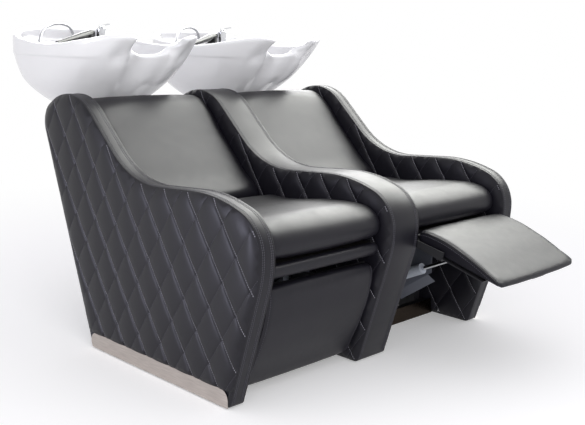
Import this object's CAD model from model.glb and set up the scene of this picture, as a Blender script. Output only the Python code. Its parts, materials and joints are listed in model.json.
import bmesh
import bpy
import json
import math
from mathutils import Matrix, Vector
from mathutils.bvhtree import BVHTree
from mathutils.kdtree import KDTree


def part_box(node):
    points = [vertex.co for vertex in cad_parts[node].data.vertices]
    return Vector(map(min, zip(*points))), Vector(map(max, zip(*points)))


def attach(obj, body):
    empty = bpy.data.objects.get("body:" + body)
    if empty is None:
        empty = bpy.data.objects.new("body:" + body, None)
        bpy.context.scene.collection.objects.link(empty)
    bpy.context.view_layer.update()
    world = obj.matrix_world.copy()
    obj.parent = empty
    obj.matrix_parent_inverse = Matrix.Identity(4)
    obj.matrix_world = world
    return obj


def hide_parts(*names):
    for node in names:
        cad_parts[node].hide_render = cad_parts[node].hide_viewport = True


# Double backwash unit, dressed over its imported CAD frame. Metres, seats facing -Y, +Z up.
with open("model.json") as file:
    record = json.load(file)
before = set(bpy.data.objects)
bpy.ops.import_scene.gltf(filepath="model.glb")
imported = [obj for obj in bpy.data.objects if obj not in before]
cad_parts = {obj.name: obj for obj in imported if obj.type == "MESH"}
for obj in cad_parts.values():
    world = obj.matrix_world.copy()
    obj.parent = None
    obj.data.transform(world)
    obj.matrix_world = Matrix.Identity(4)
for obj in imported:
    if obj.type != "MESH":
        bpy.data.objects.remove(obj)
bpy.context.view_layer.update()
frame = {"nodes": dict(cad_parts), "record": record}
MM = 0.001

# Depths are measured from the front foot of the side panels, as the plinths are placed
plinth_setback = 147 * MM
depth_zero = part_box("plinths")[0].y - plinth_setback
half_middle = 68.5 * MM
half_bay = 242 * MM
outer_panel = 57 * MM
bay_centre = half_middle + half_bay
overall_half = half_middle + 2 * half_bay + outer_panel
bays = [("left", -1), ("right", 1)]


def spot(x, depth, height):
    """A point of the scene from its place across, its depth and its height."""
    return Vector((x, depth + depth_zero, height))


# Camera at the photograph's viewing angle, solved from points of the object that show in it
focal_pixels = 884.3
photo_width = 585
camera_yaw = math.radians(45.306)
camera_pitch = math.radians(11.286)
camera_roll = math.radians(1.277)
camera_place = spot(-2.1261, -1.7458, 1.0224)

forward = Vector((
    math.sin(camera_yaw) * math.cos(camera_pitch),
    math.cos(camera_yaw) * math.cos(camera_pitch),
    -math.sin(camera_pitch),
))
level_right = Vector((math.cos(camera_yaw), -math.sin(camera_yaw), 0))
level_up = level_right.cross(forward)
right = math.cos(camera_roll) * level_right + math.sin(camera_roll) * level_up
up = -math.sin(camera_roll) * level_right + math.cos(camera_roll) * level_up
camera_data = bpy.data.cameras.new("photo_camera")
camera_data.sensor_width = 36
camera_data.lens = focal_pixels / photo_width * camera_data.sensor_width
camera_data.clip_start = 0.05
camera_data.clip_end = 60
camera = bpy.data.objects.new("photo_camera", camera_data)
camera.location = camera_place
camera.rotation_euler = Matrix((right, up, -forward)).transposed().to_euler()
bpy.context.scene.collection.objects.link(camera)
bpy.context.scene.camera = camera


# Node materials
def linear(hex_colour):
    """A colour written as sRGB hex, as the linear value that a shader takes."""
    channels = [int(hex_colour[i:i + 2], 16) / 255 for i in (1, 3, 5)]
    return [c / 12.92 if c <= 0.04045 else ((c + 0.055) / 1.055) ** 2.4 for c in channels] + [1]


def add_node(tree, kind, values=None, **links):
    """A node with its socket values set and its inputs linked to other nodes' outputs."""
    node = tree.nodes.new(kind)
    for key, value in (values or {}).items():
        if key in node.inputs:
            node.inputs[key].default_value = value
        else:
            setattr(node, key, value)
    for key, source in links.items():
        tree.links.new(source, node.inputs[key.replace("_", " ")])
    return node


def new_material(name):
    """An empty node material and its tree."""
    material = bpy.data.materials.new(name)
    material.use_nodes = True
    material.node_tree.nodes.clear()
    return material, material.node_tree


def finished(tree, shader):
    """Close a material's tree with its shader."""
    add_node(tree, "ShaderNodeOutputMaterial", Surface=shader.outputs[0])


def calendered_leather():
    """Black PU leather with a calendered pebble grain, which spreads lamps into soft grey sheen.

    Real grain is about 0.8 mm across. It is drawn at 1.7 mm, with creases of 28 mm, to show.
    """
    material, tree = new_material("calendered_black_leather")
    place = add_node(tree, "ShaderNodeTexCoord").outputs["Object"]
    grain = add_node(
        tree, "ShaderNodeTexVoronoi", {"Scale": 1 / (1.7 * MM), "feature": "SMOOTH_F1"},
        Vector=place,
    )
    creases = add_node(
        tree, "ShaderNodeTexNoise", {"Scale": 1 / (28 * MM), "Detail": 3.0, "Roughness": 0.55},
        Vector=place,
    )
    fine = add_node(
        tree, "ShaderNodeBump", {"Strength": 0.16, "Distance": 0.25 * MM},
        Height=grain.outputs["Distance"],
    )
    soft = add_node(
        tree, "ShaderNodeBump", {"Strength": 0.10, "Distance": 1.2 * MM},
        Height=creases.outputs[0], Normal=fine.outputs["Normal"],
    )
    tone = add_node(tree, "ShaderNodeValToRGB", Fac=creases.outputs[0])
    tone.color_ramp.elements[0].color = linear("#121117")
    tone.color_ramp.elements[1].color = linear("#1a1920")
    polish = add_node(
        tree, "ShaderNodeMapRange", {"To Min": 0.36, "To Max": 0.48}, Value=creases.outputs[0]
    )
    shader = add_node(
        tree, "ShaderNodeBsdfPrincipled", {"Specular IOR Level": 0.27},
        Base_Color=tone.outputs["Color"], Roughness=polish.outputs["Result"],
        Normal=soft.outputs["Normal"],
    )
    finished(tree, shader)
    return material


def glazed_ceramic():
    """White vitreous china, slip cast and glazed: bright, with sharp highlights on faint waves."""
    material, tree = new_material("glazed_white_ceramic")
    place = add_node(tree, "ShaderNodeTexCoord").outputs["Object"]
    wave = add_node(
        tree, "ShaderNodeTexNoise", {"Scale": 1 / (90 * MM), "Detail": 2.0}, Vector=place
    )
    tone = add_node(tree, "ShaderNodeValToRGB", Fac=wave.outputs[0])
    tone.color_ramp.elements[0].color = linear("#f5f5f7")
    tone.color_ramp.elements[1].color = linear("#f8f8fa")
    relief = add_node(
        tree, "ShaderNodeBump", {"Strength": 0.05, "Distance": 1 * MM}, Height=wave.outputs[0]
    )
    shader = add_node(
        tree, "ShaderNodeBsdfPrincipled", {"Roughness": 0.12, "IOR": 1.5},
        Base_Color=tone.outputs["Color"], Normal=relief.outputs["Normal"],
    )
    finished(tree, shader)
    return material


def speckled(
    name, low, high, grain, metallic, low_rough, high_rough, relief, stretch=(1, 1, 1)
):
    """A finish whose colour, roughness and relief vary with one noise of a real grain size."""
    material, tree = new_material(name)
    place = add_node(tree, "ShaderNodeTexCoord").outputs["Object"]
    mapped = add_node(tree, "ShaderNodeMapping", {"Scale": stretch}, Vector=place)
    noise = add_node(
        tree, "ShaderNodeTexNoise", {"Scale": 1 / grain, "Detail": 4.0, "Roughness": 0.6},
        Vector=mapped.outputs["Vector"],
    )
    tone = add_node(tree, "ShaderNodeValToRGB", Fac=noise.outputs[0])
    tone.color_ramp.elements[0].position = 0.35
    tone.color_ramp.elements[1].position = 0.65
    tone.color_ramp.elements[0].color = linear(low)
    tone.color_ramp.elements[1].color = linear(high)
    rough = add_node(
        tree, "ShaderNodeMapRange", {"To Min": low_rough, "To Max": high_rough},
        Value=noise.outputs[0],
    )
    bump = add_node(
        tree, "ShaderNodeBump", {"Strength": 0.2, "Distance": relief}, Height=noise.outputs[0]
    )
    shader = add_node(
        tree, "ShaderNodeBsdfPrincipled", {"Metallic": metallic},
        Base_Color=tone.outputs["Color"], Roughness=rough.outputs["Result"],
        Normal=bump.outputs["Normal"],
    )
    finished(tree, shader)
    return material


leather = calendered_leather()
# Bonded polyester thread: a dull twisted filament, lighter than the leather round it. Real
# thread is about 1 mm thick and is drawn wider, so that its dashes show at the photo's distance
thread_grey = speckled(
    "bonded_polyester_thread", "#8c8b96", "#a8a7b1", 0.8 * MM, 0.0, 0.5, 0.65, 0.1 * MM
)
# The same thread pulled deeper into the leather, where it stays in shade
thread_dark = speckled(
    "sunk_polyester_thread", "#3b3a43", "#4b4a54", 0.8 * MM, 0.0, 0.55, 0.7, 0.1 * MM
)
# The same thread on the folds, in a darker dye
thread_mid = speckled(
    "dyed_polyester_thread", "#3f3e46", "#504f58", 0.8 * MM, 0.0, 0.5, 0.65, 0.1 * MM
)
ceramic = glazed_ceramic()
# Grain that follows a rolling or sawing line is stretched along Y or X
lengthwise = (1, 0.04, 1)
sawn = (1, 0.1, 1)
finishes = {
    "black_upholstery": leather,
    "white_ceramic": ceramic,
    # Rolled stainless sheet with a lengthwise brushed line: broad streaky highlights
    "satin_steel": speckled(
        "brushed_stainless_sheet", "#a79f99", "#bdb5ae", 2.2 * MM, 1.0, 0.30, 0.42, 0.03 * MM,
        lengthwise,
    ),
    # Tinted stainless in the dark under the seats: the floor shows in it as brown
    "tinted_steel": speckled(
        "bronze_tinted_sheet", "#2b231d", "#3c3229", 2.2 * MM, 1.0, 0.22, 0.32, 0.03 * MM,
        lengthwise,
    ),
    # Zinc plate on turned heads and axles: small bright dots
    "screw_steel": speckled(
        "turned_zinc_plate", "#b9b9bd", "#d2d2d6", 1.5 * MM, 1.0, 0.18, 0.28, 0.02 * MM
    ),
    # Chromium plate over polished metal: a near mirror, dark and white by turns
    "chrome": speckled(
        "polished_chrome_plate", "#c9cace", "#dcdde0", 30 * MM, 1.0, 0.04, 0.08, 0.02 * MM
    ),
    # Silver PVC sheath over the hose braid: pale grey with a soft gloss
    "chrome_hose": speckled(
        "silver_pvc_hose", "#a3a4a9", "#c6c7cb", 3 * MM, 0.3, 0.22, 0.32, 0.1 * MM
    ),
    # Sanded birch plywood, only seen from inside: dry, light and streaked
    "panel_board": speckled(
        "birch_plywood", "#b08d62", "#c9a878", 6 * MM, 0.0, 0.55, 0.7, 0.1 * MM, sawn
    ),
    # The same board stained black, so that the gap over a leg rest stays dark
    "seat_board": speckled(
        "black_stained_plywood", "#151312", "#1f1c1a", 6 * MM, 0.0, 0.55, 0.7, 0.1 * MM, sawn
    ),
    # Powder coat baked on steel tube: matt, with a fine orange peel drawn at 1.2 mm
    "dark_frame": speckled(
        "black_powder_coat", "#1d1d20", "#28282b", 1.2 * MM, 0.0, 0.42, 0.55, 0.08 * MM
    ),
    # The same coat in graphite on the sheet covers: lighter than the frame behind them
    "dark_cover": speckled(
        "graphite_powder_coat", "#585b64", "#656872", 1.2 * MM, 0.0, 0.40, 0.52, 0.06 * MM
    ),
    # Sprayed enamel on the actuator tube: cool light grey, half gloss
    "grey_actuator": speckled(
        "grey_painted_tube", "#a9afba", "#b9bfc9", 2 * MM, 0.0, 0.32, 0.42, 0.03 * MM
    ),
    # Polished ABS moulding: black with clear highlights
    "black_gloss": speckled(
        "black_moulded_abs", "#08080a", "#0f0f12", 20 * MM, 0.0, 0.22, 0.30, 0.02 * MM
    ),
    # Spark eroded nylon moulding: black and dull
    "black_plastic": speckled(
        "black_moulded_nylon", "#141416", "#1c1c1f", 1.5 * MM, 0.0, 0.45, 0.6, 0.05 * MM
    ),
    # Fine textured ABS keys: mid grey, half matt
    "button_grey": speckled(
        "grey_moulded_abs", "#6f7178", "#7d8087", 1.5 * MM, 0.0, 0.35, 0.5, 0.04 * MM
    ),
}
for part in frame["record"]["subparts"]:
    node = frame["nodes"][part["node"]]
    node.data.materials.clear()
    node.data.materials.append(finishes[part["material_slot"]])


def piece(name, bm, material, body, replaces=()):
    """Turn a bmesh into a named piece with its finish, its body and the nodes it stands for."""
    mesh = bpy.data.meshes.new(name)
    bm.to_mesh(mesh)
    bm.free()
    mesh.shade_smooth()
    mesh.materials.append(material)
    obj = bpy.data.objects.new(name, mesh)
    bpy.context.scene.collection.objects.link(obj)
    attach(obj, body)
    if replaces:
        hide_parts(*replaces)
    return obj


def applied(obj):
    """The mesh of an object with its modifiers applied."""
    view = bpy.context.evaluated_depsgraph_get()
    return bpy.data.meshes.new_from_object(obj.evaluated_get(view))


def subdivided(obj):
    """Round off an object's faces with one level of subdivision."""
    smooth = obj.modifiers.new("smooth", "SUBSURF")
    smooth.levels = 1
    smooth.render_levels = 1


# Shower hoses, on the route of their CAD tubes: mm from the middle of the bay, depth and height
hose_radius = 5 * MM
hose_route = [
    (50.0, 1311.0, 984.1), (50.0, 1311.0, 1016.0), (30.0, 1306.0, 1041.0),
    (-22.0, 1284.0, 1051.0), (-75.0, 1260.0, 1045.0), (-124.0, 1234.0, 1024.0),
    (-158.0, 1202.0, 983.0), (-165.0, 1181.0, 937.0), (-167.0, 1158.0, 893.0),
    (-168.0, 1124.0, 864.0), (-168.0, 1082.0, 858.0), (-168.0, 1048.0, 884.0),
    (-168.0, 1040.0, 925.0), (-158.0, 1066.0, 957.0), (-150.0, 1117.0, 966.0),
    (-134.7, 1167.4, 970.8), (-95.0, 1185.0, 978.0),
]


def hose_curve(name, points):
    """A hose through control points, and the length of its middle line."""
    data = bpy.data.curves.new(name, "CURVE")
    data.dimensions = "3D"
    data.bevel_resolution = 3
    data.resolution_u = 12
    data.use_fill_caps = True
    spline = data.splines.new("NURBS")
    spline.points.add(len(points) - 1)
    for control, point in zip(spline.points, points):
        control.co = (*point, 1)
    spline.order_u = 3
    spline.use_endpoint_u = True
    obj = bpy.data.objects.new(name, data)
    bpy.context.scene.collection.objects.link(obj)
    line = [vert.co.copy() for vert in applied(obj).vertices]
    data.bevel_depth = hose_radius
    return obj, sum((far - near).length for near, far in zip(line, line[1:]))


for side, hand in bays:
    points = [spot(hand * bay_centre + x * MM, y * MM, z * MM) for x, y, z in hose_route]
    hose, hose_length = hose_curve(f"{side}_hose", points)
    hose.data.materials.append(finishes["chrome_hose"])
    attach(hose, f"{side}_bowl")
    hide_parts(f"{side}_shower_hose")
    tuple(points[0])


# Side panels: their corners are shares of the panel's depth and height, with radii in mm
panel_front, panel_depth, panel_height = -131 * MM, 1062 * MM, 823 * MM
foot_front = panel_front + panel_depth * 0.111
foot_rear = panel_front + panel_depth * 0.754
glide_height = 4 * MM
band_wall = 14 * MM
band_round = 7 * MM
seam_gap, seam_depth = 1.5 * MM, 3 * MM
corner_shares = [
    (1.020, 0.917), (0.840, 1.052), (0.543, 0.699), (0.180, 0.731), (0.000, 0.659), (0.000, 0.486),
]
corner_radii = [75, 180, 320, 500, 125, 300]
foot_radius = 12
arc_step = 12 * MM
mark_step = 3 * MM
cap_corners = 8
cut_tolerance = 0.05 * MM


def rounded_outline(corners, radii):
    """An outline in the side view whose corners are circular arcs."""
    points = []
    for i, (corner, radius) in enumerate(zip(corners, radii)):
        here = Vector(corner)
        before = (Vector(corners[i - 1]) - here).normalized()
        after = (Vector(corners[(i + 1) % len(corners)]) - here).normalized()
        half = before.angle(after) / 2
        centre = here + (before + after).normalized() * radius / math.sin(half)
        reach = radius / math.tan(half)
        start, end = here + before * reach - centre, here + after * reach - centre
        steps = max(2, math.ceil((end - start).length / arc_step))
        for step in range(steps + 1):
            points.append(centre + start.lerp(end, step / steps).normalized() * radius)
    return points


panel_corners = [(foot_rear, glide_height)]
panel_corners += [
    (panel_front + panel_depth * along, panel_height * high) for along, high in corner_shares
]
panel_corners += [(foot_front, glide_height)]
panel_outline = rounded_outline(
    panel_corners, [r * MM for r in [foot_radius, *corner_radii, foot_radius]]
)


def outline_face(bm, x, points):
    """A face of side view points at a place across."""
    return bm.faces.new([bm.verts.new(spot(x, depth, height)) for depth, height in points])


def inset_outline(points, distance):
    """The same outline drawn in by a distance, as side view points."""
    bm = bmesh.new()
    face = outline_face(bm, 0, points)
    bmesh.ops.inset_region(bm, faces=[face], thickness=distance, use_even_offset=True)
    inner = [(v.co.y - depth_zero, v.co.z) for v in face.verts]
    bm.free()
    return inner


def spaced(points, step, closed):
    """Points a step apart along a line, with the line's direction at each."""
    ends = list(zip(points, points[1:] + points[:1])) if closed else list(zip(points, points[1:]))
    found, left = [], 0
    for near, far in ends:
        near, far = Vector(near), Vector(far)
        length = (far - near).length
        along = left
        while along < length:
            found.append((near.lerp(far, along / length), (far - near).normalized()))
            along += step
        left = along - length
    return found


def side_distance(points):
    """How far a side view point is from an outline."""
    marks = [place for place, _ in spaced(points, mark_step, True)]
    tree = KDTree(len(marks))
    for i, mark in enumerate(marks):
        tree.insert((0, mark.x, mark.y), i)
    tree.balance()
    return lambda depth, height: tree.find((0, depth, height))[2]


def inside(points, depth, height):
    """Whether a side view point lies within an outline."""
    within = False
    for (y1, z1), (y2, z2) in zip(points, points[1:] + points[:1]):
        if (z1 > height) != (z2 > height) and depth < y1 + (height - z1) / (z2 - z1) * (y2 - y1):
            within = not within
    return within


core_outline = inset_outline(panel_outline, band_wall)
to_band = side_distance(core_outline)


def band_cover(name, low_x, high_x):
    """The edge band of a panel, rounded over both faces down to its sewn seams."""
    bm = bmesh.new()
    face = outline_face(bm, low_x, panel_outline)
    grown = bmesh.ops.extrude_face_region(bm, geom=[face])["geom"]
    bmesh.ops.translate(
        bm, verts=[g for g in grown if isinstance(g, bmesh.types.BMVert)],
        vec=(high_x - low_x, 0, 0),
    )
    bmesh.ops.recalc_face_normals(bm, faces=bm.faces)
    caps = [f for f in bm.faces if len(f.verts) > cap_corners]
    rim = list({edge for cap in caps for edge in cap.edges})
    bmesh.ops.bevel(
        bm, geom=rim, offset=band_round, affect="EDGES", segments=4, profile=0.5, material=-1,
        clamp_overlap=True,
    )
    for cap in [f for f in bm.faces if len(f.verts) > cap_corners]:
        bmesh.ops.inset_region(
            bm, faces=[cap], thickness=band_wall - band_round - seam_gap, use_even_offset=True
        )
        bmesh.ops.inset_region(
            bm, faces=[cap], thickness=seam_gap, depth=-seam_depth, use_even_offset=True
        )
    return piece(
        f"{name}_band_cover", bm, leather, "root", [f"{name}_panel_band"]
    )


# Quilting: tall diamonds between two families of sewn grooves. The cuts beside each groove are
# distances in mm, closer together where the leather bends more
diamond_length, diamond_height = 112 * MM, 164 * MM
diamond_start = (12 * MM, 362 * MM)
groove_slope = math.atan2(diamond_height, diamond_length)
groove_spacing = diamond_length * math.sin(groove_slope)
groove_cuts = [0, 2, 5, 11, 24]
main_groove, cross_groove = 3.6 * MM, 4 * MM
main_depth, cross_depth, tuck_depth, tuck_reach = 3.2 * MM, 0.9 * MM, 1.6 * MM, 8 * MM
crown = 2.8 * MM
edge_cuts = [4 * MM, 5 * MM, 8 * MM, 9 * MM]
edge_roll = 28 * MM
pad_sink, pad_rise = 2.5 * MM, 5 * MM
stitch_pitch, stitch_length, stitch_width = 6.5 * MM, 5.4 * MM, 2.2 * MM
stitch_clearance = 4 * MM
beads_per_mesh = 150
skirt_depth = 3 * MM
families = [groove_slope, -groove_slope]


def groove_distance(depth, height, slope):
    """Distance from a side view point to the nearest groove of one family."""
    shift = depth - diamond_start[0] - (height - diamond_start[1]) / math.tan(slope)
    share = shift / diamond_length % 1
    return min(share, 1 - share) * groove_spacing


def pad_relief(depth, height):
    """How far the quilted leather stands off the panel face."""
    main, cross = (groove_distance(depth, height, slope) for slope in families)
    full = math.sin(min(1, to_band(depth, height) / edge_roll) * math.pi / 2)
    swell = 1 - math.exp(-main / main_groove)
    puff = main_depth * swell
    puff += cross_depth * (1 - math.exp(-cross / cross_groove)) * swell
    main_share, cross_share = (math.sin(math.pi * gap / groove_spacing) for gap in (main, cross))
    puff += crown * main_share * cross_share
    puff -= tuck_depth * math.exp(-(main * main + cross * cross) / tuck_reach ** 2)
    return full * (pad_rise + puff) - pad_sink


def quilt_lines():
    """Each groove that crosses the pad: where it passes, and its direction in the side view."""
    reach = math.ceil((panel_depth + panel_height) / diamond_length)
    for slope in families:
        along = Vector((math.cos(slope), math.sin(slope)))
        for step in range(-reach, reach + 1):
            yield Vector((diamond_start[0] + step * diamond_length, diamond_start[1])), along


def quilt_sheet():
    """One pad facing +X on the plane of x = 0, cut along its grooves and puffed between them."""
    bm = bmesh.new()
    face = outline_face(bm, 0, core_outline)
    for step in edge_cuts:
        bmesh.ops.inset_region(bm, faces=[face], thickness=step, use_even_offset=True)
    for place, along in quilt_lines():
        across = Vector((-along.y, along.x))
        offsets = sorted({sign * cut * MM for cut in groove_cuts for sign in (-1, 1)})
        for offset in offsets + [groove_spacing / 2]:
            through = place + across * offset
            bmesh.ops.bisect_plane(
                bm, geom=bm.verts[:] + bm.edges[:] + bm.faces[:], dist=cut_tolerance,
                plane_co=spot(0, *through), plane_no=(0, *across),
            )
    for vert in bm.verts:
        vert.co.x = pad_relief(vert.co.y - depth_zero, vert.co.z)
    bm.normal_update()
    if sum(f.normal.x for f in bm.faces) < 0:
        bmesh.ops.reverse_faces(bm, faces=bm.faces)
    mesh = bpy.data.meshes.new("quilt_sheet")
    bm.to_mesh(mesh)
    bm.free()
    return mesh


def thread_meshes(places, length, width):
    """Stitches, each a stretched bead lying along its seam, in meshes small enough to fill fast."""
    meshes = []
    for first in range(0, len(places), beads_per_mesh):
        bm = bmesh.new()
        for centre, along, out in places[first:first + beads_per_mesh]:
            across = along.cross(out)
            turn = Matrix((along * length / 2, across * width / 2, out * width / 2)).transposed()
            bmesh.ops.create_icosphere(
                bm, subdivisions=1, radius=1, matrix=Matrix.Translation(centre) @ turn.to_4x4()
            )
        mesh = bpy.data.meshes.new("stitches")
        bm.to_mesh(mesh)
        bm.free()
        meshes.append(mesh)
    return meshes


def gathered(sets):
    """One bmesh from copies of sets of meshes, each set with the matrix that moves it."""
    bm = bmesh.new()
    for meshes, move in sets:
        for mesh in meshes:
            copy = mesh.copy()
            copy.transform(move)
            if move.determinant() < 0:
                copy.flip_normals()
            bm.from_mesh(copy)
            bpy.data.meshes.remove(copy)
    return bm


def facing(x, outward):
    """The move that puts a pad made at x = 0, facing +X, on a panel face."""
    return Matrix.Translation((x, 0, 0)) @ Matrix.Scale(outward, 4, (1, 0, 0))


def trimmed(bm, height):
    """Cut away what is below a height."""
    bmesh.ops.bisect_plane(
        bm, geom=bm.verts[:] + bm.edges[:] + bm.faces[:], dist=cut_tolerance,
        plane_co=(0, 0, height), plane_no=(0, 0, 1), clear_inner=True,
    )


def quilt_stitches(slope, rise):
    """Places of the stitches down one family of grooves on a pad facing +X."""
    steps = math.ceil((panel_depth + panel_height) / stitch_pitch)
    for place, along in quilt_lines():
        if (along.y > 0) != (slope > 0):
            continue
        for step in range(-steps, steps):
            depth, height = place + along * step * stitch_pitch
            clear = to_band(depth, height) > stitch_clearance
            if clear and inside(core_outline, depth, height):
                yield (
                    spot(pad_relief(depth, height) + rise, depth, height),
                    Vector((0, *along)), Vector((1, 0, 0)),
                )


sheet_mesh = quilt_sheet()
plate_top = 57 * MM
# Name, low and high face, and whether a kick plate covers the foot of each
panel_places = [
    ("left", -overall_half, -half_middle - 2 * half_bay, True, False),
    ("middle", -half_middle, half_middle, False, False),
    ("right", half_middle + 2 * half_bay, overall_half, False, True),
]
edge_rows = [10 * MM, 16 * MM]
row_places = []
for place, along in spaced(panel_outline, stitch_pitch, True):
    out = Vector((0, along.y, -along.x))
    if place.y > glide_height + foot_radius * MM:
        centre = spot(0, *place) + out * 0.2 * MM
        row_places.append((centre, Vector((0, *along)), out))
row_meshes = thread_meshes(row_places, stitch_length, stitch_width)
fold, fold_length, fold_width = 2.6 * MM, 13 * MM, 3.6 * MM
fold_places = [(centre - out * fold, along, out) for centre, along, out in row_places]
welt_meshes = thread_meshes(fold_places, fold_length, fold_width)
band_rows = [
    ("band_thread", row_meshes, thread_mid, edge_rows),
    ("band_welt", welt_meshes, leather, [fold]),
]
# Stitches of each family: its direction, how far they stand proud, their width and finish
quilt_rows = [
    (groove_slope, 0.7 * MM, 2.3 * MM, thread_grey),
    (-groove_slope, 0.3 * MM, 1.5 * MM, thread_dark),
]
quilt_seams = []
for slope, rise, width, finish in quilt_rows:
    places = list(quilt_stitches(slope, rise))
    high = [item for item in places if item[0].z > plate_top + stitch_clearance]
    full, short = (thread_meshes(some, stitch_length, width) for some in (places, high))
    quilt_seams.append((finish, full, short))

for name, low_x, high_x, low_plate, high_plate in panel_places:
    band_cover(name, low_x, high_x)
    faces = ((low_x, -1, low_plate), (high_x, 1, high_plate))
    pads = bmesh.new()
    for x, outward, plate in faces:
        pad = gathered([([sheet_mesh], facing(x, outward))])
        if plate:
            trimmed(pad, plate_top)
        rim = [edge for edge in pad.edges if edge.is_boundary]
        skirt = bmesh.ops.extrude_edge_only(pad, edges=rim)["geom"]
        for vert in (g for g in skirt if isinstance(g, bmesh.types.BMVert)):
            vert.co.x -= outward * skirt_depth
        one = bpy.data.meshes.new("pad")
        pad.to_mesh(one)
        pad.free()
        pads.from_mesh(one)
        bpy.data.meshes.remove(one)
    cover = piece(
        f"{name}_quilt_cover", pads, leather, "root", [f"{name}_panel_quilts"]
    )
    for kind, (finish, full, short) in zip(("main", "cross"), quilt_seams):
        thread = gathered(
            [(short if plate else full, facing(x, outward)) for x, outward, plate in faces]
        )
        piece(f"{name}_{kind}_thread", thread, finish, "root")
    for kind, meshes, finish, gaps in band_rows:
        moves = [Matrix.Translation((low_x + gap, 0, 0)) for gap in gaps]
        moves += [Matrix.Translation((high_x - gap, 0, 0)) for gap in gaps]
        rows = gathered([(meshes, move) for move in moves])
        piece(f"{name}_{kind}", rows, finish, "root")


# Padded seats, backs, strips and leg rests, blown up from their CAD forms by cloth simulation
cloth_frames = 12
weld_distance = 0.01 * MM


def merged_copy(node):
    """The mesh of a CAD node with its split corners joined."""
    bm = bmesh.new()
    bm.from_mesh(frame["nodes"][node].data)
    bmesh.ops.remove_doubles(bm, verts=bm.verts, dist=weld_distance)
    return bm


def relaxed(bm, rounds):
    """Even out a mesh by rounds of smoothing."""
    for _ in range(rounds):
        bmesh.ops.smooth_vert(
            bm, verts=bm.verts, factor=0.5, use_axis_x=True, use_axis_y=True, use_axis_z=True
        )


def plumped(node, voxel, smoothing, shrink, pressure, most):
    """A padded form: the node remeshed, drawn in a little and blown up as stretched cloth."""
    bm = merged_copy(node)
    mesh = bpy.data.meshes.new("padding")
    bm.to_mesh(mesh)
    bm.free()
    obj = bpy.data.objects.new("padding", mesh)
    bpy.context.scene.collection.objects.link(obj)
    remesh = obj.modifiers.new("remesh", "REMESH")
    remesh.mode = "VOXEL"
    remesh.voxel_size = voxel
    obj.data = applied(obj)
    obj.modifiers.clear()
    bm = bmesh.new()
    bm.from_mesh(obj.data)
    relaxed(bm, smoothing)
    bm.normal_update()
    for vert in bm.verts:
        vert.co -= vert.normal * shrink
    bm.to_mesh(obj.data)
    bm.free()
    start = [vert.co.copy() for vert in obj.data.vertices]
    cloth = obj.modifiers.new("cloth", "CLOTH")
    cloth.settings.quality = 4
    cloth.settings.mass = 0.4
    cloth.settings.tension_stiffness = 25
    cloth.settings.compression_stiffness = 25
    cloth.settings.shear_stiffness = 10
    cloth.settings.bending_stiffness = 8
    cloth.settings.use_pressure = True
    cloth.settings.uniform_pressure_force = pressure
    cloth.settings.effector_weights.gravity = 0
    cloth.point_cache.frame_end = cloth_frames
    for step in range(1, cloth_frames + 1):
        bpy.context.scene.frame_set(step)
    blown = applied(obj)
    obj.modifiers.clear()
    for vert, low, high in zip(obj.data.vertices, start, blown.vertices):
        move = high.co - low
        if move.length > most:
            move *= most / move.length
        vert.co = low + move
    bpy.context.scene.frame_set(1)
    bm = bmesh.new()
    bm.from_mesh(obj.data)
    bpy.data.objects.remove(obj)
    relaxed(bm, smoothing)
    return bm


def padded_piece(name, bm, body, node, fill, move):
    """A plumped form moved to its place, as the cover that stands for its CAD node."""
    bmesh.ops.transform(bm, matrix=move, verts=bm.verts)
    obj = piece(name, bm, leather, body, [node])
    subdivided(obj)


# The left leg rest hangs and the right one is raised about the pivot's depth and height
pivot = (-54 * MM, 404 * MM)
legrest_swing = math.radians(88)
to_right_bay = Matrix.Translation((2 * bay_centre, 0, 0))
pivot_place = spot(bay_centre, *pivot)
raise_legrest = (
    Matrix.Translation(pivot_place) @ Matrix.Rotation(-legrest_swing, 4, "X")
    @ Matrix.Translation(-pivot_place) @ to_right_bay
)


def legrest_seams(bm):
    """The welt and the twin rows of stitches down both long edges of the hanging leg rest pad."""
    tree = BVHTree.FromBMesh(bm)
    low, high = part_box("left_legrest_pad")
    middle_x = (low.x + high.x) / 2
    half = (high.x - low.x) / 2
    found = {"welt": [], "thread": []}
    # Each line's gap from the pad's side, its depth from the front and the lean of its rays
    lines = [("welt", 7 * MM, 8 * MM, 1), ("thread", 14 * MM, 0, 0), ("thread", 0, 14 * MM, 6)]
    for sign in (-1, 1):
        for kind, gap, sink, lean in lines:
            ray = Vector((-sign * lean, 1, 0)).normalized()
            last = None
            height = low.z + 20 * MM
            while height < high.z - 12 * MM:
                before = Vector((middle_x + sign * (half - 22 * MM), low.y - 0.1, height))
                front = tree.ray_cast(before, Vector((0, 1, 0)))[0]
                height += stitch_pitch if kind == "thread" else 4.5 * MM
                if front is None:
                    continue
                edge = Vector((middle_x + sign * (half - gap), front.y + sink, front.z))
                hit, normal = tree.ray_cast(edge - ray * 0.1, ray)[:2]
                if hit is None:
                    continue
                if last is not None and (hit - last).length < 30 * MM:
                    along = (hit - last).normalized()
                    out = (normal - along * normal.dot(along)).normalized()
                    found[kind].append(((hit + last) / 2 + out * 0.3 * MM, along, out))
                last = hit
    yield "thread", (stitch_length, 1.8 * MM), thread_mid, found["thread"]
    yield "welt", (12 * MM, 3.4 * MM), leather, found["welt"]


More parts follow.
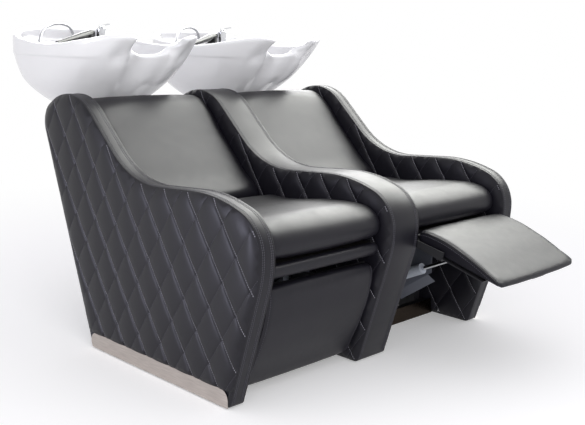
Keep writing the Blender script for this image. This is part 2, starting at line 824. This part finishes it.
# Body, voxel in mm, rounds of smoothing, shrink in mm, pressure, most swelling in mm, fill, move
soft_forms = [
    ("seat_cushion", "root", 7, 5, 2, 3, 3.5, 0.8, to_right_bay),
    ("backrest", "root", 7, 5, 2, 3, 3.5, 0.7, to_right_bay),
    ("front_strip", "root", 4, 3, 1, 3, 2, 0.8, to_right_bay),
    ("legrest_pad", "legrest", 5, 3, 1, 3, 2, 0.8, raise_legrest),
]
for form, body, voxel, smoothing, shrink, pressure, most, fill, move in soft_forms:
    bm = plumped(f"left_{form}", voxel * MM, smoothing, shrink * MM, pressure, most * MM)
    twin = bm.copy()
    left_body = body if body == "root" else f"left_{body}"
    right_body = body if body == "root" else f"right_{body}"
    if form == "legrest_pad":
        for kind, sizes, finish, places in legrest_seams(bm):
            meshes = thread_meshes(places, *sizes)
            for side, place in (("left", Matrix()), ("right", move)):
                sewn = gathered([(meshes, place)])
                piece(f"{side}_legrest_{kind}", sewn, finish, f"{side}_legrest")
    padded_piece(f"left_{form}_cover", bm, left_body, f"left_{form}", fill, Matrix())
    padded_piece(f"right_{form}_cover", twin, right_body, f"right_{form}", fill, move)


# Bowls: rings of stations, each ring drawn out of the last, round the wall, over the rim and down.
# All in mm. A ring's row has its height, half width, front, rear and the notch for the neck
outer_rings = [
    (742, 88, 985, 1120, -20), (765, 140, 940, 1205, -24), (809, 192, 882, 1268, -22),
    (854, 226, 818, 1314, -12), (926, 246, 738, 1346, 30), (985, 250, 682, 1352, 72),
    (1044, 250, 640, 1352, 96),
]
inner_rings = [
    (758, 66, 1005, 1095, -12), (785, 140, 952, 1165, -16), (825, 184, 896, 1200, -14),
    (868, 214, 838, 1218, -6), (930, 228, 770, 1232, 22), (992, 232, 716, 1236, 58),
    (1060, 232, 668, 1238, 78),
]
deck_ring = (984, 230, 630, 1334, 0)
# Shares of a ring's half width, of its depth and of its notch, from the front round one side
ring_shares = [
    (0.000, 0.000, 1.0), (0.260, 0.012, 0.42), (0.440, 0.000, 0.0), (0.680, 0.055, 0.0),
    (0.900, 0.205, 0.0), (1.000, 0.420, 0.0), (1.000, 0.640, 0.0), (0.930, 0.840, 0.0),
    (0.680, 0.962, 0.0), (0.330, 0.997, 0.0), (0.000, 1.000, 0.0),
]
# Height of the rim by depth, and of the neck rest's edge by distance from the middle
rim_line = [
    (630, 1004), (653, 1017), (700, 1015), (780, 1002), (935, 984), (1050, 982), (1200, 995),
    (1310, 1024), (1352, 1034),
]
neck_line = [
    (0, 949), (38, 952), (64, 960), (86, 973), (103, 991), (117, 1010), (140, 1022), (250, 1050),
]
base_level, floor_level = 742, 758
wall_levels = [
    742, 744, 752, 765, 787, 809, 832, 854, 876, 893, 906, 917, 926, 934, 937, 940, 943, 950,
]
rim_parts = (0.4, 0.75, 1)
side_steps = 5
basin_parts = (0.12, 0.28, 0.46, 0.64, 0.80, 0.91, 0.97, 1)
hole_radius, hole_depth = 20.4, 1050
stations_each = 10
lip = 9
leaf_depth = 20


def through(values, share):
    """A smooth value, at a share of the way from the second to the third of four neighbours."""
    a, b, c, d = values
    cubic = 3 * (b - c) + d - a
    square = 2 * a - 5 * b + 4 * c - d + share * cubic
    return b + share * (c - a + share * square) / 2


def read_line(line, at):
    """A smooth reading of a table of (place, value, ...) rows at a place."""
    at = min(max(at, line[0][0]), line[-1][0])
    i = max(j for j in range(len(line) - 1) if line[j][0] <= at)
    rows = [line[max(0, i - 1)], line[i], line[i + 1], line[min(len(line) - 1, i + 2)]]
    share = (at - rows[1][0]) / (rows[2][0] - rows[1][0])
    return [through([row[k] for row in rows], share) for k in range(1, len(line[0]))]


ring_points = ring_shares + [(-x, y, n) for x, y, n in reversed(ring_shares[1:-1])]
station_shares = []
for i in range(len(ring_points)):
    near = [ring_points[(i + k) % len(ring_points)] for k in (-1, 0, 1, 2)]
    for step in range(stations_each):
        station_shares.append(
            [through([row[k] for row in near], step / stations_each) for k in range(3)]
        )


def ring_spot(share, values):
    """The place across and the depth of a station on a ring."""
    half_width, front, rear, notch = values
    return share[0] * half_width, front + (rear - front) * share[1] + notch * share[2]


def smooth_step(value, low, high):
    """0 below low, 1 above high and an even curve between them."""
    share = min(1, max(0, (value - low) / (high - low)))
    return share * share * (3 - 2 * share)


def soft_least(a, b, soft):
    """The lesser of two heights, with a rounded corner where they cross."""
    gap = max(0, 1 - abs(a - b) / soft)
    return min(a, b) - gap * gap * soft / 4


def rim_height(share):
    """The height of the rim at a station, settled in a few rounds as the wall leans."""
    height = 1000
    for _ in range(6):
        x, y = ring_spot(share, read_line(outer_rings, height))
        height = read_line(rim_line, y)[0]
        if y < 880:
            height = soft_least(height, read_line(neck_line, abs(x))[0], 16)
    return height


def wall_spot(share, z):
    """A point of the outside wall, whose rim stands a little proud of a ledge at the sides."""
    x, y = ring_spot(share, read_line(outer_rings, z))
    proud = 4 * smooth_step(z, 934, 941) * smooth_step(y, 760, 860)
    proud *= 1 - smooth_step(y, 1270, 1330)
    slant = y - 713 + (z - 959)
    hollow = math.exp(-((slant / 16) ** 2 + ((z - 950) / 34) ** 2)) * smooth_step(abs(x), 60, 100)
    out = Vector((x, y - 1000)).normalized()
    x += out.x * (proud - leaf_depth * hollow)
    y += out.y * (proud - leaf_depth * hollow)
    return x, y, z


def curled(x, y, z):
    """A point moved so that both ears curl out over the neck, with its sides drawn back."""
    front = 1 - smooth_step(y, 740, 830)
    tip = front * math.exp(-(((abs(x) - 106) / 26) ** 2) - ((z - 1010) / 15) ** 2)
    bay = front * math.exp(-(((abs(x) - 82) / 22) ** 2) - ((z - 972) / 17) ** 2)
    return x - math.copysign(14 * tip - 5 * bay, x), y - 12 * tip + 24 * bay, z


def bowl_rings():
    """The rings of a bowl, from the waste hole under it, up, over the rim and down to the hole."""
    turns = [2 * math.pi * i / len(station_shares) for i in range(len(station_shares))]
    hole = [
        (hole_radius * math.sin(turn), hole_depth - hole_radius * math.cos(turn)) for turn in turns
    ]
    rims = [rim_height(share) for share in station_shares]
    rings = [[(x, y, base_level) for x, y in hole]]
    for z in wall_levels:
        row = []
        for share, rim in zip(station_shares, rims):
            fit = min(1, (rim - 2.5 * lip - base_level) / (wall_levels[-1] - base_level))
            row.append(wall_spot(share, base_level + (z - base_level) * fit))
        rings.append(row)
    for part in rim_parts:
        row = []
        for share, rim, below in zip(station_shares, rims, rings[len(wall_levels)]):
            row.append(wall_spot(share, below[2] + (rim - lip - below[2]) * part))
        rings.append(row)
    inner_rows = [[] for _ in range(side_steps + len(basin_parts))]
    crest = [[], [], []]
    for share, rim, edge in zip(station_shares, rims, rings[-1]):
        rear = smooth_step(edge[1], 1165, 1225)
        turn = min(978, rim - 2.4 * lip)
        side_levels = [
            rim - lip + (turn - rim + lip) * k / (side_steps - 1) for k in range(side_steps)
        ]
        side = [(*ring_spot(share, read_line(inner_rings, z)), z) for z in side_levels]
        deck = ring_spot(share, deck_ring[1:])
        basin = ring_spot(share, read_line(inner_rings, 984))
        out = (Vector(deck) - Vector((0, 1000))).normalized()
        back = [
            (*deck, rim - lip), (*deck, 991), (deck[0] - out.x * 7, deck[1] - out.y * 7, 984.2),
            (basin[0] + out.x * 7, basin[1] + out.y * 7, 984.2), (*basin, 978),
        ]
        for row, low, high in zip(inner_rows, side, back):
            row.append(tuple(Vector(low).lerp(Vector(high), rear)))
        for row, part in zip(inner_rows[side_steps:], basin_parts):
            z = turn + (floor_level - turn) * part
            row.append((*ring_spot(share, read_line(inner_rings, z)), z))
        top, low = Vector(edge), Vector(inner_rows[0][-1])
        for row, part, high in zip(crest, (0.10, 0.5, 0.90), (0.62, 1, 0.62)):
            row.append((*top.lerp(low, part).xy, rim - lip + lip * high))
    rings += crest + inner_rows
    rings.append([(x, y, floor_level) for x, y in hole])
    return [[curled(*point) for point in ring] for ring in rings]


def bowl_cover(side, hand):
    """One bowl, skinned over its rings, with its own CAD node replaced."""
    rings = bowl_rings()
    bm = bmesh.new()
    bmesh.ops.create_circle(bm, segments=len(station_shares), radius=1)
    bm.verts.ensure_lookup_table()
    station = bm.verts.layers.int.new("station")
    for i, vert in enumerate(bm.verts):
        vert[station] = i
    edges = bm.edges[:]
    first = edges
    for k, ring in enumerate(rings):
        if k:
            drawn = bmesh.ops.extrude_edge_only(bm, edges=edges)["geom"]
            edges = [g for g in drawn if isinstance(g, bmesh.types.BMEdge)]
        for vert in {v for edge in edges for v in edge.verts}:
            x, y, z = ring[vert[station]]
            vert.co = spot(hand * bay_centre + x * MM, y * MM, z * MM)
    bmesh.ops.bridge_loops(bm, edges=first + edges)
    bmesh.ops.recalc_face_normals(bm, faces=bm.faces)
    body = f"{side}_bowl"
    subdivided(piece(f"{body}_cover", bm, ceramic, body, [body]))


for side, hand in bays:
    bowl_cover(side, hand)


# Floor, light and background: camera and mirror rays see white, while a pale sky and the lamps
# shade the object. The floor's own glow grows with distance until no edge of it shows
floor_half = 14
fade_start, fade_end = 1.2, 3.4


def seen_straight(tree):
    """1 for the rays of the camera, of mirrors and of glass, 0 for those that light the object."""
    path = add_node(tree, "ShaderNodeLightPath")
    total = path.outputs["Is Camera Ray"]
    for ray in ("Is Glossy Ray", "Is Transmission Ray"):
        both = add_node(tree, "ShaderNodeMath", {"operation": "MAXIMUM"})
        tree.links.new(total, both.inputs[0])
        tree.links.new(path.outputs[ray], both.inputs[1])
        total = both.outputs[0]
    return total


floor_material, tree = new_material("white_studio_floor")
place = add_node(tree, "ShaderNodeTexCoord").outputs["Object"]
distance = add_node(tree, "ShaderNodeVectorMath", {"operation": "LENGTH"})
tree.links.new(place, distance.inputs[0])
fade = add_node(
    tree, "ShaderNodeMapRange",
    {"From Min": fade_start, "From Max": fade_end, "interpolation_type": "SMOOTHSTEP"},
    Value=distance.outputs["Value"],
)
paint = add_node(tree, "ShaderNodeBsdfDiffuse", {"Color": linear("#f6f6f6")})
glow = add_node(tree, "ShaderNodeEmission", {"Color": (1, 1, 1, 1), "Strength": 0.22})
near = add_node(tree, "ShaderNodeAddShader")
tree.links.new(paint.outputs[0], near.inputs[0])
tree.links.new(glow.outputs[0], near.inputs[1])
far = add_node(tree, "ShaderNodeEmission", {"Color": (1, 1, 1, 1), "Strength": 1.0})
shown = add_node(tree, "ShaderNodeMixShader", Fac=fade.outputs[0])
tree.links.new(near.outputs[0], shown.inputs[1])
tree.links.new(far.outputs[0], shown.inputs[2])
both = add_node(tree, "ShaderNodeMixShader", Fac=seen_straight(tree))
tree.links.new(paint.outputs[0], both.inputs[1])
tree.links.new(shown.outputs[0], both.inputs[2])
finished(tree, both)

bm = bmesh.new()
bmesh.ops.create_grid(bm, x_segments=1, y_segments=1, size=floor_half)
floor_mesh = bpy.data.meshes.new("studio_floor")
bm.to_mesh(floor_mesh)
bm.free()
floor_mesh.materials.append(floor_material)
floor = bpy.data.objects.new("studio_floor", floor_mesh)
bpy.context.scene.collection.objects.link(floor)

world = bpy.data.worlds.new("studio")
bpy.context.scene.world = world
world.use_nodes = True
tree = world.node_tree
tree.nodes.clear()
fill = add_node(tree, "ShaderNodeBackground", {"Color": linear("#f7f6fa"), "Strength": 0.83})
white = add_node(tree, "ShaderNodeBackground", {"Color": (1, 1, 1, 1), "Strength": 1.0})
mixed = add_node(tree, "ShaderNodeMixShader", Fac=seen_straight(tree))
tree.links.new(fill.outputs[0], mixed.inputs[1])
tree.links.new(white.outputs[0], mixed.inputs[2])
add_node(tree, "ShaderNodeOutputWorld", Surface=mixed.outputs[0])
bpy.context.scene.view_settings.view_transform = "Standard"


def area_lamp(name, place, aim, size, power, colour, lights):
    """A panel of light aimed at a point, for dull surfaces or for reflections."""
    data = bpy.data.lights.new(name, "AREA")
    data.shape = "RECTANGLE"
    data.size, data.size_y = size
    data.energy = power
    data.color = linear(colour)[:3]
    lamp = bpy.data.objects.new(name, data)
    lamp.location = place
    lamp.rotation_euler = (Vector(aim) - Vector(place)).to_track_quat("-Z", "Y").to_euler()
    lamp.visible_diffuse = "paint" in lights
    lamp.visible_glossy = "sheen" in lights
    bpy.context.scene.collection.objects.link(lamp)


# A lamp for paint lights dull surfaces, and one for sheen only shows in leather, glaze and metal
area_lamp("front_fill", (-1.9, -3.2, 1.3), (0, 1.0, 0.92), (2.0, 1.4), 56, "#ffffff", "paint")
area_lamp("high_sheen", (1.7, 0.0, 2.45), (0.1, 0, 0.6), (2.4, 2.6), 175, "#fefffa", "sheen")
area_lamp("rear_sheen", (1.6, 2.6, 2.0), (0.1, 0, 0.5), (3.6, 1.6), 115, "#ffffff", "sheen")
area_lamp("near_sheen", (-2.9, 0.6, 0.5), (-0.6, -0.4, 0.4), (0.5, 1.4), 40, "#e6e6ff", "sheen")
